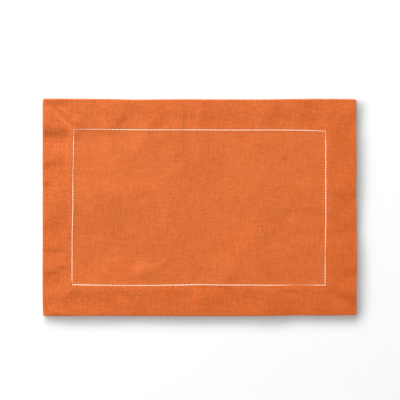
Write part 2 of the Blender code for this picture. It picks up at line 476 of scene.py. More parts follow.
@dataclass(frozen=True)
class Relief:
    """Middle heights of each layer of the cloth, as it rests on a flat surface."""

    plan: MatPlan
    thickness: float = 0.42 * MM
    clearance: float = 0.02 * MM
    layer_gap: float = 0.05 * MM
    turn_in: float = 10.0 * MM
    turn_in_step: float = 4.0 * MM
    field_level: float = 1.25 * MM
    field_lift_at_row: float = 0.15 * MM
    field_lift_run: float = 5.0 * MM
    rise_run: float = 8.5 * MM
    corner_blend: float = 12.0 * MM
    patch_size: float = 34.0 * MM
    patch_height: float = 0.20 * MM
    pucker_size: float = 8.0 * MM
    pucker_stretch: float = 1.7
    pucker_height: float = 0.055 * MM
    patch_layer: float = 1.7
    pucker_layer: float = 9.3
    floor_ease: float = 0.10 * MM
    mitre_half_width: float = 1.3 * MM
    # Half width of the painted highlight along the mitre ridges.
    painted_light_half_width: float = 0.7 * MM
    mitre_start: float = 4.0 * MM
    mitre_end: float = 8.0 * MM
    seam_groove: float = 0.16 * MM
    seam_half_width: float = 0.8 * MM
    levels: dict[Side, HemLevels] = field(default_factory=lambda: {
        Side.LEFT: HemLevels(2.05 * MM, 1.45 * MM),
        Side.RIGHT: HemLevels(1.42 * MM, 1.84 * MM),
        Side.BOTTOM: HemLevels(1.42 * MM, 1.96 * MM),
        Side.TOP: HemLevels(1.72 * MM, 1.55 * MM),
    })
    mitres: tuple[Mitre, ...] = (
        Mitre(-1, 1, 1.7 * MM, 0.03 * MM, 0.62, 4 * MM, 26 * MM),
        Mitre(1, 1, 0.0, 0.04 * MM, 0.0, 2 * MM, 40 * MM),
        Mitre(-1, -1, -2.2 * MM, 0.10 * MM, 0.4, 2 * MM, 9 * MM),
        Mitre(1, -1, 0.0, 0.04 * MM, 0.0, 2 * MM, 40 * MM),
    )

    def unevenness(self, x: np.ndarray, y: np.ndarray) -> np.ndarray:
        """Return the small patches and puckers that pressing leaves in the cloth.

        Args:
            x: Plan places along the mat.
            y: Plan places across the mat.

        Returns:
            Heights, in metres.
        """
        patches = mottle(x, y, self.patch_size, self.patch_layer)
        puckers = mottle(x / self.pucker_stretch, y, self.pucker_size, self.pucker_layer)
        return self.patch_height * patches + self.pucker_height * puckers

    def creases(self, x: np.ndarray, y: np.ndarray) -> np.ndarray:
        """Return the height that all the soft creases add."""
        return sum(crease.height(x, y) for crease in CREASES)

    def field(self, x: np.ndarray, y: np.ndarray) -> np.ndarray:
        """Return the field's middle height, which lifts a little towards the row.

        Args:
            x: Plan places along the mat.
            y: Plan places across the mat.

        Returns:
            Heights, in metres.
        """
        inside = -self.plan.past_row(x, y)
        lift = self.field_lift_at_row * (1 - smooth(inside / self.field_lift_run))
        height = self.field_level + lift + self.creases(x, y) + self.unevenness(x, y)
        return soft_floor(height, self.thickness / 2 + self.clearance, self.floor_ease)

    @property
    def back_level(self) -> float:
        """The middle height of the back layer, which lies flat."""
        return self.thickness / 2 + self.clearance

    @property
    def turn_in_level(self) -> float:
        """The middle height of the edge that is turned in between the two layers."""
        return self.back_level + self.thickness + self.layer_gap

    def hem_face(self, x: np.ndarray, y: np.ndarray) -> np.ndarray:
        """Return the middle height of the hem's face layer.

        Args:
            x: Plan places along the mat.
            y: Plan places across the mat.

        Returns:
            Heights, in metres.
        """
        out = self.plan.past_row(x, y)
        ends = self.plan.on_end_hems(x, y, self.corner_blend)
        end_hem = np.where(x < 0, self._climb(Side.LEFT, out), self._climb(Side.RIGHT, out))
        long_hem = np.where(y < 0, self._climb(Side.BOTTOM, out), self._climb(Side.TOP, out))
        height = end_hem * ends + long_hem * (1 - ends)
        height = height + self.creases(x, y) + self.unevenness(x, y) + self._mitre_ridges(x, y)
        over_turn_in = 1 - smooth((out - self.turn_in) / self.turn_in_step)
        lowest = self.turn_in_level + (self.thickness + self.layer_gap) * over_turn_in
        return soft_floor(height, lowest, self.floor_ease)

    def seam_groove_at(self, x: np.ndarray, y: np.ndarray) -> np.ndarray:
        """Return how far the back is drawn in along its mitre seams.

        Args:
            x: Plan places along the mat.
            y: Plan places across the mat.

        Returns:
            Depths, in metres.
        """
        in_hem = self.plan.past_row(x, y) > 0
        both = np.minimum(np.abs(x) - self.plan.row_x, np.abs(y) - self.plan.row_y) > 0
        depth = self.seam_groove * bell(self.plan.off_mitre(x, y), self.seam_half_width)
        return np.where(in_hem & both, depth, 0.0)

    def _climb(self, side: Side, out: np.ndarray) -> np.ndarray:
        """Return one hem's height from the row outwards."""
        levels = self.levels[side]
        return levels.at_row + (levels.past_turn_in - levels.at_row) * smooth(out / self.rise_run)

    def _mitre_ridges(self, x: np.ndarray, y: np.ndarray) -> np.ndarray:
        """Return the ridges over the mitre seams, each along its own stretch of the diagonal."""
        return self._on_mitres("lift", x, y, self.mitre_half_width)

    def painted_light(self, x: np.ndarray, y: np.ndarray) -> np.ndarray:
        """Return the painted highlight that pales the threads over the mitre seams' ridges."""
        return self._on_mitres("painted_light", x, y, self.painted_light_half_width)

    def _on_mitres(self, column: str, x: np.ndarray, y: np.ndarray, half_width: float) -> np.ndarray:
        """Spread one column of the mitres' table along their diagonals.

        Args:
            column: The field of each mitre that is read.
            x: Plan places along the mat.
            y: Plan places across the mat.
            half_width: Half the width over which it fades.

        Returns:
            The value at each place.
        """
        total = np.zeros_like(x)
        out = self.plan.past_row(x, y)
        for mitre in self.mitres:
            here = (np.sign(x) == mitre.x_side) & (np.sign(y) == mitre.y_side)
            across = bell(self.plan.off_mitre(x, y) - mitre.aside, half_width)
            start = smooth((out - mitre.from_row) / self.mitre_start)
            end = 1 - smooth((out - mitre.to_row) / self.mitre_end)
            total = total + np.where(here, getattr(mitre, column) * across * start * end, 0.0)
        return total


# ---------------------------------------------------------------- meshes from arrays
@dataclass
class Patchwork:
    """Points and four-sided faces gathered into one mesh, with a place on the flat cut for each."""

    points: list[np.ndarray] = field(default_factory=list)
    quads: list[np.ndarray] = field(default_factory=list)
    threads: list[np.ndarray] = field(default_factory=list)
    painted_light: list[np.ndarray] = field(default_factory=list)
    count: int = 0

    def add(self, points: np.ndarray, quads: np.ndarray, threads: np.ndarray,
            painted_light: np.ndarray) -> None:
        """Add one closed shell.

        Args:
            points: Corner points, one row of three for each.
            quads: Faces, as rows of four numbers of those points.
            threads: The flat cut's place at each corner of each face, (faces, 4, 2).
            painted_light: How much painted light pales each point.
        """
        self.points.append(points)
        self.quads.append(quads + self.count)
        self.threads.append(threads)
        self.painted_light.append(painted_light)
        self.count += len(points)

    def to_object(self, name: str, material: bpy.types.Material) -> bpy.types.Object:
        """Make the mesh object.

        Args:
            name: The piece's name.
            material: Its finish.

        Returns:
            The object, linked to the scene.
        """
        points = np.concatenate(self.points)
        quads = np.concatenate(self.quads)
        mesh = bpy.data.meshes.new(name)
        mesh.from_pydata(points.tolist(), [], quads.tolist())
        layer = mesh.uv_layers.new(name="threads")
        layer.data.foreach_set("uv", np.concatenate(self.threads).astype(np.float32).ravel())
        # Painted light is kept on the points, for the linen to pale by.
        painted_light_layer = mesh.attributes.new("painted_light", "FLOAT", "POINT")
        painted_light_layer.data.foreach_set("value", np.concatenate(self.painted_light).astype(np.float32))
        mesh.shade_smooth()
        mesh.materials.append(material)
        made = bpy.data.objects.new(name, mesh)
        bpy.context.scene.collection.objects.link(made)
        return made


def grid_quads(numbers: np.ndarray) -> np.ndarray:
    """Return the faces of a grid of point numbers, each running down, then right, as a face up.

    Args:
        numbers: The grid's point numbers.

    Returns:
        The faces, as rows of four numbers.
    """
    here, right = numbers[:-1, :-1], numbers[:-1, 1:]
    below, across = numbers[1:, :-1], numbers[1:, 1:]
    return np.stack([here, below, across, right], axis=-1).reshape(-1, 4)


def register(piece: bpy.types.Object) -> bpy.types.Object:
    """Put a finished piece on the mat's body, and report its triangles.

    Args:
        piece: The finished piece.

    Returns:
        The same piece.
    """
    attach(piece, BODY)
    triangles = sum(len(face.vertices) - 2 for face in piece.data.polygons)
    LOG.info("%s: %d triangles", piece.name, triangles)
    return piece


# ---------------------------------------------------------------- the cloth
@dataclass
class LinenCloth:
    """The one sheet of linen: the field, and the hem with its fold, back layer and turned edge."""

    plan: MatPlan
    relief: Relief
    pitch: float = 2.3 * MM
    face_pitch: float = 2.3 * MM
    back_pitch: float = 4.5 * MM
    inside_pitch: float = 6.0 * MM
    fold_reach: float = 0.02 * MM
    fold_steps: int = 8
    edge_setback: float = 0.35 * MM
    edge_reach: float = 0.25 * MM
    edge_steps: int = 4
    tucked_points: int = 3
    row_edge: tuple[float, ...] = (0.0, 0.5 * MM, 1.2 * MM)
    face_start: float = 2.4 * MM
    # The weight from which a point of the profile counts as lying in a layer.
    wholly: float = 0.9
    corner_steps: tuple[float, ...] = (0.6 * MM, 1.2 * MM, 1.9 * MM, 2.7 * MM, 3.7 * MM)
    bulge: float = 0.10 * MM
    # Painted light: the right and bottom folds, facing away from the key light, are drawn paler.
    edge_painted_light_reach: float = 1.8 * MM
    edge_painted_light: dict[Side, float] = field(default_factory=lambda: {
        Side.LEFT: 0.0, Side.TOP: 0.0, Side.RIGHT: 1.2, Side.BOTTOM: 1.4,
    })

    def build(self, material: bpy.types.Material) -> bpy.types.Object:
        """Build the cloth in place of its solid.

        Args:
            material: The linen's finish.

        Returns:
            The cloth's object.
        """
        patchwork = Patchwork()
        self._add_field(patchwork)
        self._add_hem(patchwork)
        cloth = patchwork.to_object("linen_cloth", material)
        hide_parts(NODE)
        return register(cloth)

    def cut_size(self) -> tuple[float, float]:
        """Return the width and length of the rectangle that the cloth was cut to."""
        turned = self.plan.hem + self.relief.turn_in
        return 2 * (self.plan.half_length + turned), 2 * (self.plan.half_width + turned)

    def cut_area(self) -> float:
        """Return the flat cut's area, less the corners that are trimmed for the mitres.

        Returns:
            The area, in square metres.
        """
        width, length = self.cut_size()
        trimmed = 0.5 * (self.plan.hem + self.relief.turn_in) ** 2
        return width * length - 4 * trimmed

    def _half_stations(self, half_size: float) -> np.ndarray:
        """Return places from -1 to 1 along a side, closer together near its corners.

        Args:
            half_size: Half the side's length.

        Returns:
            The places.
        """
        ends = half_size - np.array([0.0, *self.corner_steps])
        count = 2 * max(2, round(ends[-1] / self.pitch))
        middle = np.linspace(-ends[-1], ends[-1], count + 1)[1:-1]
        return np.concatenate([-ends, middle, ends[::-1]]) / half_size

    def _add_field(self, patchwork: Patchwork) -> None:
        """Add the field: its face, its underside and the bank that meets the row.

        Args:
            patchwork: What it is added to.
        """
        reach_x = self.plan.row_x - self.plan.gap
        reach_y = self.plan.row_y - self.plan.gap
        x_line = self._half_stations(reach_x) * reach_x
        y_line = self._half_stations(reach_y) * reach_y
        x, y = np.meshgrid(x_line, y_line[::-1])
        place_x, place_y = self.plan.bend(x, y)
        middle = self.relief.field(x, y)
        half = self.relief.thickness / 2
        top = np.stack([place_x, place_y, middle + half], axis=-1).reshape(-1, 3)
        under = np.stack([place_x, place_y, middle - half], axis=-1).reshape(-1, 3)
        numbers = np.arange(x.size).reshape(x.shape)
        rim = np.concatenate([numbers[0, :-1], numbers[:-1, -1], numbers[-1, :0:-1], numbers[:0:-1, 0]])
        centre = np.stack([place_x.ravel()[rim], place_y.ravel()[rim], middle.ravel()[rim]], axis=-1)
        out_x = np.where(np.abs(x.ravel()[rim]) >= reach_x - TINY, np.sign(x.ravel()[rim]), 0.0)
        out_y = np.where(np.abs(y.ravel()[rim]) >= reach_y - TINY, np.sign(y.ravel()[rim]), 0.0)
        bank = centre + self.bulge * np.stack([out_x, out_y, np.zeros(len(rim))], axis=-1)

        faces_up = grid_quads(numbers)
        faces_down = faces_up[:, ::-1] + x.size
        after = np.roll(np.arange(len(rim)), -1)
        bank_numbers = 2 * x.size + np.arange(len(rim))
        upper = np.stack([rim, rim[after], bank_numbers[after], bank_numbers], axis=-1)
        lower = np.stack([bank_numbers, bank_numbers[after], rim[after] + x.size, rim + x.size], axis=-1)
        quads = np.concatenate([faces_up, faces_down, upper, lower])

        flat = np.stack([x.ravel(), y.ravel()], axis=-1)
        cut = np.concatenate([flat, flat, flat[rim]])
        patchwork.add(np.concatenate([top, under, bank]), quads, cut[quads], np.zeros(len(cut)))

    def _hem_profile(self, face_pitch: float, back_pitch: float) -> np.ndarray:
        """Trace the hem's middle line across one side, from the row out, under and back in.

        Args:
            face_pitch: Distance between points on the face layer.
            back_pitch: Distance between points on the back layer.

        Returns:
            A row for each point: distance past the row, weights of the face, back and turned-in
            layers, the angle of the cloth's outer side, and the length along the cut.
        """
        start = self.plan.gap
        fold_at = self.plan.hem - self.fold_reach - self.relief.thickness / 2
        edge_at = start + self.edge_setback
        face_points = round(self.plan.hem / face_pitch)
        face = np.concatenate([start + np.array(self.row_edge),
                               np.linspace(start + self.face_start, fold_at, face_points)])
        back = np.linspace(fold_at, edge_at, round(self.plan.hem / back_pitch))
        tucked = np.linspace(edge_at, edge_at + self.relief.turn_in, self.tucked_points)
        up_angle, half_turn = 90.0, 180.0
        rows = [(d, 1.0, 0.0, 0.0, up_angle, d) for d in face]
        length = fold_at
        for step in range(1, self.fold_steps):
            angle = up_angle - half_turn * step / self.fold_steps
            up = (1 + math.sin(math.radians(angle))) / 2
            length += math.pi * self.fold_reach / self.fold_steps
            d = fold_at + self.fold_reach * math.cos(math.radians(angle))
            rows.append((d, up, 1 - up, 0.0, angle, length))
        length += math.pi * self.fold_reach / self.fold_steps
        rows += [(d, 0.0, 1.0, 0.0, up_angle - half_turn, length + fold_at - d) for d in back]
        length += fold_at - edge_at
        for step in range(1, self.edge_steps):
            angle = up_angle - half_turn - half_turn * step / self.edge_steps
            up = (1 + math.sin(math.radians(angle))) / 2
            d = edge_at + self.edge_reach * math.cos(math.radians(angle))
            rows.append((d, 0.0, 1 - up, up, angle, length))
        rows += [(d, 0.0, 0.0, 1.0, up_angle - 2 * half_turn, length + d - edge_at) for d in tucked]
        return np.array(rows)

    def _add_hem(self, patchwork: Patchwork) -> None:
        """Add the hem: its profile carried round the mat, meeting itself at the mitres.

        Args:
            patchwork: What it is added to.
        """
        outer = self._hem_profile(self.face_pitch, self.back_pitch)
        inner = self._hem_profile(self.inside_pitch, self.inside_pitch)
        profile = np.concatenate([outer, inner[::-1]])
        side_out = np.concatenate([np.ones(len(outer)), -np.ones(len(inner))])
        distance, in_face, in_back, in_turned, angle, length = profile.T
        turn = np.radians(angle)
        half = self.relief.thickness / 2
        past = distance + side_out * half * np.cos(turn)
        lift = side_out * half * np.sin(turn)

        sides, fractions = [], []
        for side in Side:
            half_size = self.plan.half_width if side in (Side.LEFT, Side.RIGHT) else self.plan.half_length
            stations = self._half_stations(half_size)[:-1]
            sides += [side] * len(stations)
            fractions.append(stations)
        fraction = np.concatenate(fractions)
        x, y = self._around(sides, fraction, past)

        place_x, place_y = self.plan.bend(x, y)
        middle = (in_face[:, None] * self.relief.hem_face(x, y) + in_back[:, None] * self.relief.back_level
                  + in_turned[:, None] * self.relief.turn_in_level)
        height = middle + lift[:, None]
        under_side = (side_out > 0) & (in_back > self.wholly)
        height = height + np.where(under_side[:, None], self.relief.seam_groove_at(x, y), 0.0)
        points = np.stack([place_x, place_y, height], axis=-1).reshape(-1, 3)

        numbers = np.arange(x.size).reshape(x.shape)
        closed = np.concatenate([numbers, numbers[:1]], axis=0)
        closed = np.concatenate([closed, closed[:, :1]], axis=1)
        quads = grid_quads(closed)
        threads = self._hem_threads(sides, fraction, past, length)
        # Painted highlight over the mitres, and painted light on the right and bottom folds.
        painted_light = self.relief.painted_light(x, y) * (in_face > self.wholly)[:, None]
        at_fold = smooth((past - (self.plan.hem - self.edge_painted_light_reach)) / (self.edge_painted_light_reach / 2))
        painted_light = painted_light + at_fold[:, None] * np.array([self.edge_painted_light[side] for side in sides])
        patchwork.add(points, quads, threads, painted_light.ravel())

    def _around(self, sides: list[Side], fraction: np.ndarray, past: np.ndarray
                ) -> tuple[np.ndarray, np.ndarray]:
        """Return plan places of every profile point (rows) at every station (columns).

        Args:
            sides: Each station's side.
            fraction: Each station's place along its side, from -1 to 1.
            past: Each profile point's distance past the row.

        Returns:
            The places along and across the mat.
        """
        reach_x = self.plan.row_x + past[:, None]
        reach_y = self.plan.row_y + past[:, None]
        is_side = {side: np.array([one is side for one in sides]) for side in Side}
        x = np.select([is_side[Side.BOTTOM], is_side[Side.RIGHT], is_side[Side.TOP]],
                      [fraction * reach_x, reach_x + 0 * fraction, -fraction * reach_x],
                      -reach_x + 0 * fraction)
        y = np.select([is_side[Side.BOTTOM], is_side[Side.RIGHT], is_side[Side.TOP]],
                      [-reach_y + 0 * fraction, fraction * reach_y, reach_y + 0 * fraction],
                      -fraction * reach_y)
        return x, y

    def _hem_threads(self, sides: list[Side], fraction: np.ndarray, past: np.ndarray,
                     length: np.ndarray) -> np.ndarray:
        """Return each face corner's place on the flat cut, so that its grain runs as woven.

        Args:
            sides: Each station's side.
            fraction: Each station's place along its side, from -1 to 1.
            past: Each profile point's distance past the row.
            length: Each profile point's length along the cut.

        Returns:
            The places, (faces, 4, 2).
        """
        rows = len(past)
        faces = np.empty((rows, len(sides), 4, 2))
        next_row = np.roll(np.arange(rows), -1)
        next_station = np.roll(fraction, -1)
        for column, side in enumerate(sides):
            ends = (fraction[column], 1.0 if next_station[column] <= -1.0 else next_station[column])
            corners = ((np.arange(rows), ends[0]), (next_row, ends[0]), (next_row, ends[1]),
                       (np.arange(rows), ends[1]))
            for corner, (row, station) in enumerate(corners):
                faces[:, column, corner] = self._cut_place(side, station, past[row], length[row])
        return faces.reshape(-1, 4, 2)

    def _cut_place(self, side: Side, station: float, past: np.ndarray, length: np.ndarray) -> np.ndarray:
        """Return places on the flat cut, for points along one station of one side.

        Args:
            side: The station's side.
            station: Its place along that side, from -1 to 1.
            past: The points' distances past the row.
            length: The points' lengths along the cut.

        Returns:
            The places, one row of two for each point.
        """
        if side in (Side.BOTTOM, Side.TOP):
            sign = -1 if side is Side.BOTTOM else 1
            return np.stack([-sign * station * (self.plan.row_x + past),
                             sign * (self.plan.row_y + length)], axis=-1)
        sign = -1 if side is Side.LEFT else 1
        return np.stack([sign * (self.plan.row_x + length),
                         sign * station * (self.plan.row_y + past)], axis=-1)


# ---------------------------------------------------------------- node trees written as Python
def operator(operation: str, turned: bool = False) -> Callable[["Wire", "Wire | float"], "Wire"]:
    """Write a wire's method that adds a Math node for two values.

    Args:
        operation: The Math node's operation.
        turned: Whether the wire itself comes second.

    Returns:
        The method.
    """
    def method(self: "Wire", other: "Wire | float") -> "Wire":
        """Add the Math node, with its two values in their order."""
        return self.graph.maths(operation, *((other, self) if turned else (self, other)))

    return method


@dataclass(frozen=True)
class Wire:
    """A socket of a node tree whose Python maths adds Math nodes to that tree."""

    graph: "Graph"
    socket: bpy.types.NodeSocket

    __add__ = __radd__ = operator("ADD")
    __sub__ = operator("SUBTRACT")
    __rsub__ = operator("SUBTRACT", turned=True)
    __mul__ = __rmul__ = operator("MULTIPLY")
    __truediv__ = operator("DIVIDE")
    __rtruediv__ = operator("DIVIDE", turned=True)
    __pow__ = operator("POWER")
    __mod__ = operator("FLOORED_MODULO")
    at_least = operator("MAXIMUM")
    at_most = operator("MINIMUM")

    def __abs__(self) -> "Wire":
        """Return the value without its sign."""
        return self.graph.maths("ABSOLUTE", self)

    def floor(self) -> "Wire":
        """Round the value down."""
        return self.graph.maths("FLOOR", self)

    def sine(self) -> "Wire":
        """Return the value's sine."""
        return self.graph.maths("SINE", self)


@dataclass(frozen=True)
class Graph:
    """A node tree, with one way to add each of its nodes."""

    tree: bpy.types.NodeTree

    def add(self, kind: str, settings: dict[str, object] | None = None,
            values: dict[int | str, object] | None = None) -> bpy.types.Node:
        """Add a node.

        Args:
            kind: The node's type.
            settings: Its properties, set first.
            values: A number, colour, text or wire for each of its named or numbered sockets.

        Returns:
            The node.
        """
        node = self.tree.nodes.new(kind)
        for name, value in (settings or {}).items():
            setattr(node, name, value)
        for key, value in (values or {}).items():
            if isinstance(value, Wire):
                self.tree.links.new(value.socket, node.inputs[key])
            else:
                node.inputs[key].default_value = value
        return node

    def wire(self, kind: str, settings: dict[str, object] | None = None,
             values: dict[int | str, object] | None = None, output: int = 0) -> Wire:
        """Add a node and return one of its outputs.

        Args:
            kind: The node's type.
            settings: Its properties, set first.
            values: What its sockets are given.
            output: The number of the output.

        Returns:
            The wire from that output.
        """
        return Wire(self, self.add(kind, settings, values).outputs[output])

    def maths(self, operation: str, *values: Wire | float) -> Wire:
        """Add a Math node for one operation on one or two values."""
        return self.wire("ShaderNodeMath", {"operation": operation}, dict(enumerate(values)))

    def join(self, x: Wire | float, y: Wire | float, z: Wire | float = 0.0) -> Wire:
        """Make a vector of three values."""
        return self.wire("ShaderNodeCombineXYZ", None, {0: x, 1: y, 2: z})

    def split(self, vector: Wire) -> tuple[Wire, Wire, Wire]:
        """Take a vector apart into its three values."""
        node = self.add("ShaderNodeSeparateXYZ", None, {0: vector})
        return Wire(self, node.outputs[0]), Wire(self, node.outputs[1]), Wire(self, node.outputs[2])


# ---------------------------------------------------------------- finishes
class MixSocket(Enum):
    """The numbers of the Mix node's sockets for colours."""

    FACTOR = 0
    FIRST = 6
    SECOND = 7
    RESULT = 2


class FinishGraph(Graph):
    """The node tree of one material."""

    @classmethod
    def start(cls, name: str) -> tuple["FinishGraph", bpy.types.Material]:
        """Make a material with an empty tree.

        Args:
            name: The material's name.

        Returns:
            Its graph and the material.
        """
        material = bpy.data.materials.new(name)
        material.use_nodes = True
        material.node_tree.nodes.clear()
        return cls(material.node_tree), material

    def noise(self, vector: Wire, scale: float, detail: float = 0.0, flat: bool = False) -> Wire:
        """Return soft noise around 0, from about -0.5 to 0.5.

        Args:
            vector: Where it is read.
            scale: Patches for each unit of length.
            detail: How many finer patterns it holds.
            flat: Whether the vector's third value is left out.

        Returns:
            The noise.
        """
        settings = {"noise_dimensions": "2D" if flat else "3D"}
        return self.wire("ShaderNodeTexNoise", settings,
                         {"Vector": vector, "Scale": scale, "Detail": detail}) - 0.5

    def between(self, factor: Wire, first: tuple[float, ...], second: tuple[float, ...]) -> Wire:
        """Blend two colours by a factor from 0 to 1.

        Args:
            factor: The share of the second colour.
            first: One colour.
            second: The other.

        Returns:
            The colour.
        """
        values = {MixSocket.FACTOR.value: factor, MixSocket.FIRST.value: (*first, 1.0),
                  MixSocket.SECOND.value: (*second, 1.0)}
        return self.wire("ShaderNodeMix", {"data_type": "RGBA"}, values, MixSocket.RESULT.value)

    def bump(self, height: Wire, distance: float, strength: float) -> Wire:
        """Return the normal of a surface raised by a height from 0 to 1."""
        return self.wire("ShaderNodeBump", None,
                         {"Height": height, "Distance": distance, "Strength": strength})

    def surface(self, values: dict[str, object]) -> None:
        """Close the tree with a Principled surface that has these socket values."""
        shader = self.wire("ShaderNodeBsdfPrincipled", None, values)
        self.add("ShaderNodeOutputMaterial", None, {"Surface": shader})


@dataclass(frozen=True)
class LinenFinish:
    """Plain-woven linen in a warm orange, with thick and thin places in each of its threads."""

    plan: MatPlan
    name: str = "orange_linen"
    deep: tuple[float, float, float] = (0.565, 0.082, 0.002)
    pale: tuple[float, float, float] = (0.875, 0.238, 0.071)
    middle: float = 0.5
    thread_pitch: float = 0.66 * MM
    thread_apart: float = 7.31
    second_set: float = 211.0
    slub_run: float = 14.0 * MM
    slub_tone: float = 0.45
    knot_run: float = 5.0 * MM
    knot_tone: float = 0.25
    streak_width: float = 2.6 * MM
    streak_run: float = 26.0 * MM
    streak_tone: float = 0.23
    wander_run: float = 18.0 * MM
    wander: float = 0.5
    crown_power: float = 0.4
    mean_height: float = 0.6
    # Painted shade: the hollows between the threads are drawn darker and their crowns paler.
    hollow_shade_tone: float = 0.15
    fleck_size: float = 3.8 * MM
    fleck_tone: float = 0.36
    patch_size: float = 38.0 * MM
    patch_tone: float = 0.16
    hem_tone: float = -0.087
    # Painted light: paler towards the top left, darker towards the bottom right, more so on the hem.
    painted_light_drift: tuple[float, float] = (-0.12, 0.15)
    hem_painted_light_drift: tuple[float, float] = (-0.075, 0.12)
    hem_contrast: float = 0.13
    contrast_drift: tuple[float, float] = (-0.7, 0.35)
    # How far the painted light pales the linen.
    painted_light_tone: float = 0.45
    weave_depth: float = 0.10 * MM
    weave_strength: float = 0.18
    roughness: float = 0.78
    roughness_range: float = 0.14
    specular: float = 0.16
    sheen: float = 0.03
    sheen_roughness: float = 0.5
    sheen_colour: tuple[float, float, float] = (1.0, 0.62, 0.40)

    def material(self) -> bpy.types.Material:
        """Write the linen's node tree on its flat cut, in the map named threads.

        Returns:
            The material.
        """
        graph, material = FinishGraph.start(self.name)
        cut = graph.wire("ShaderNodeUVMap", {"uv_map": "threads"})
        u, v, _ = graph.split(cut)
        sway = graph.noise(cut, 1 / self.wander_run, 1.0, flat=True) * self.wander
        across, along = u / self.thread_pitch + sway, v / self.thread_pitch + sway
        warp, weft = across.floor(), along.floor()
        warp_over = (warp + weft) % 2.0

        warp_tone = self._thread_tone(graph, warp, v, 0.0)
        weft_tone = self._thread_tone(graph, weft, u, self.second_set)
        streaks = self._streaks(graph, u, v, 0.0) + self._streaks(graph, v, u, self.second_set)
        top_tone = warp_tone * warp_over + weft_tone * (1.0 - warp_over)
        crown_u = abs((across * math.pi).sine())
        crown_v = abs((along * math.pi).sine())
        warp_crown = crown_u * crown_v ** self.crown_power
        weft_crown = crown_v * crown_u ** self.crown_power
        height = warp_crown * warp_over + weft_crown * (1.0 - warp_over)

        patches = graph.noise(cut, 1 / self.patch_size, 2.0, flat=True) * self.patch_tone
        flecks = graph.noise(cut, 1 / self.fleck_size, 1.0, flat=True) * self.fleck_tone
        in_hem = self._in_hem(u, v)
        contrast = self.hem_contrast + u * self.contrast_drift[0] + v * self.contrast_drift[1]
        fine = (top_tone + flecks + streaks * self.streak_tone) * (1.0 + in_hem * contrast)
        # Painted shade in the weave's hollows.
        hollow_shade = (height - self.mean_height) * self.hollow_shade_tone
        # Painted highlight over the mitres and painted light on the right and bottom folds.
        painted_light = graph.wire("ShaderNodeAttribute", {"attribute_name": "painted_light"}, output=2)
        broad = patches + hollow_shade + painted_light * self.painted_light_tone + self._hem_tone_and_painted_light(in_hem, u, v)
        tone = (self.middle + fine + broad).at_least(0.0).at_most(1.0)
        graph.surface({
            "Base Color": graph.between(tone, self.deep, self.pale),
            "Roughness": self.roughness - top_tone * self.roughness_range,
            "Specular IOR Level": self.specular,
            "Sheen Weight": self.sheen,
            "Sheen Roughness": self.sheen_roughness,
            "Sheen Tint": (*self.sheen_colour, 1.0),
            "Normal": graph.bump(height + top_tone, self.weave_depth, self.weave_strength),
        })
        return material

    def _in_hem(self, u: Wire, v: Wire) -> Wire:
        """Return 1 on the hem and 0 on the field."""
        past_row = (abs(u) - self.plan.row_x).at_least(abs(v) - self.plan.row_y)
        return (past_row / MM).at_least(0.0).at_most(1.0)

    def _hem_tone_and_painted_light(self, in_hem: Wire, u: Wire, v: Wire) -> Wire:
        """Return the hem's deeper tone and the painted light, paler top left, darker bottom right."""
        hem_tone = self.hem_tone + u * self.hem_painted_light_drift[0] + v * self.hem_painted_light_drift[1]
        return in_hem * hem_tone + u * self.painted_light_drift[0] + v * self.painted_light_drift[1]

    def _streaks(self, graph: FinishGraph, aside: Wire, run: Wire, start: float) -> Wire:
        """Return how pale bundles of neighbouring threads are, along their run."""
        place = graph.join(aside / self.streak_width + start, run / self.streak_run)
        return graph.noise(place, 1.0, 1.0, flat=True)

    def _thread_tone(self, graph: FinishGraph, thread: Wire, run: Wire, start: float) -> Wire:
        """Return how pale each thread is, along its own run.

        Args:
            graph: The material's graph.
            thread: The thread's number.
            run: The place along it.
            start: Where the pattern is read, so that two sets differ.

        Returns:
            The tone, around 0.
        """
        long_place = graph.join(thread * self.thread_apart + start, run / self.slub_run)
        short_place = graph.join(thread * self.thread_apart - start, run / self.knot_run)
        slubs = graph.noise(long_place, 1.0, 1.0, flat=True) * self.slub_tone
        return slubs + graph.noise(short_place, 1.0, 0.0, flat=True) * self.knot_tone


@dataclass(frozen=True)
class ThreadFinish:
    """A loose linen thread or sewing thread: the cloth's colour, with twist and slight fuzz."""

    name: str
    deep: tuple[float, float, float]
    pale: tuple[float, float, float]
    middle: float = 0.5
    tone_range: float = 1.2
    fibre_range: float = 0.5
    fibre_scale: float = 900.0
    length_scale: float = 260.0
    fibre_depth: float = 0.04 * MM
    fibre_strength: float = 0.5
    roughness: float = 0.84
    roughness_range: float = 0.2
    specular: float = 0.14
    sheen: float = 0.05

    def material(self) -> bpy.types.Material:
        """Write the thread's node tree on its place in the mat.

        Returns:
            The material.
        """
        graph, material = FinishGraph.start(self.name)
        place = graph.wire("ShaderNodeTexCoord", output=3)
        fibres = graph.noise(place, self.fibre_scale, 2.0)
        tone = graph.noise(place, self.length_scale, 1.0)
        factor = self.middle + tone * self.tone_range + fibres * self.fibre_range
        graph.surface({
            "Base Color": graph.between(factor.at_least(0.0).at_most(1.0), self.deep, self.pale),
            "Roughness": self.roughness + fibres * self.roughness_range,
            "Specular IOR Level": self.specular,
            "Sheen Weight": self.sheen,
            "Normal": graph.bump(fibres, self.fibre_depth, self.fibre_strength),
        })
        return material


BARE_THREADS = ThreadFinish("bare_threads", deep=(0.56, 0.108, 0.024), pale=(0.84, 0.225, 0.067))
SEWING_THREAD = ThreadFinish("sewing_thread", deep=(0.52, 0.09, 0.016), pale=(0.78, 0.19, 0.050))


# ---------------------------------------------------------------- geometry trees
class InputKind(Enum):
    """Kinds of input that a geometry tree takes."""

    NUMBER = "NodeSocketFloat"
    COUNT = "NodeSocketInt"
    FINISH = "NodeSocketMaterial"


class RandomSocket(Enum):
    """The numbers of the Random Value node's sockets for plain numbers."""

    LOWEST = 2
    HIGHEST = 3
    SEED = 8
    RESULT = 1


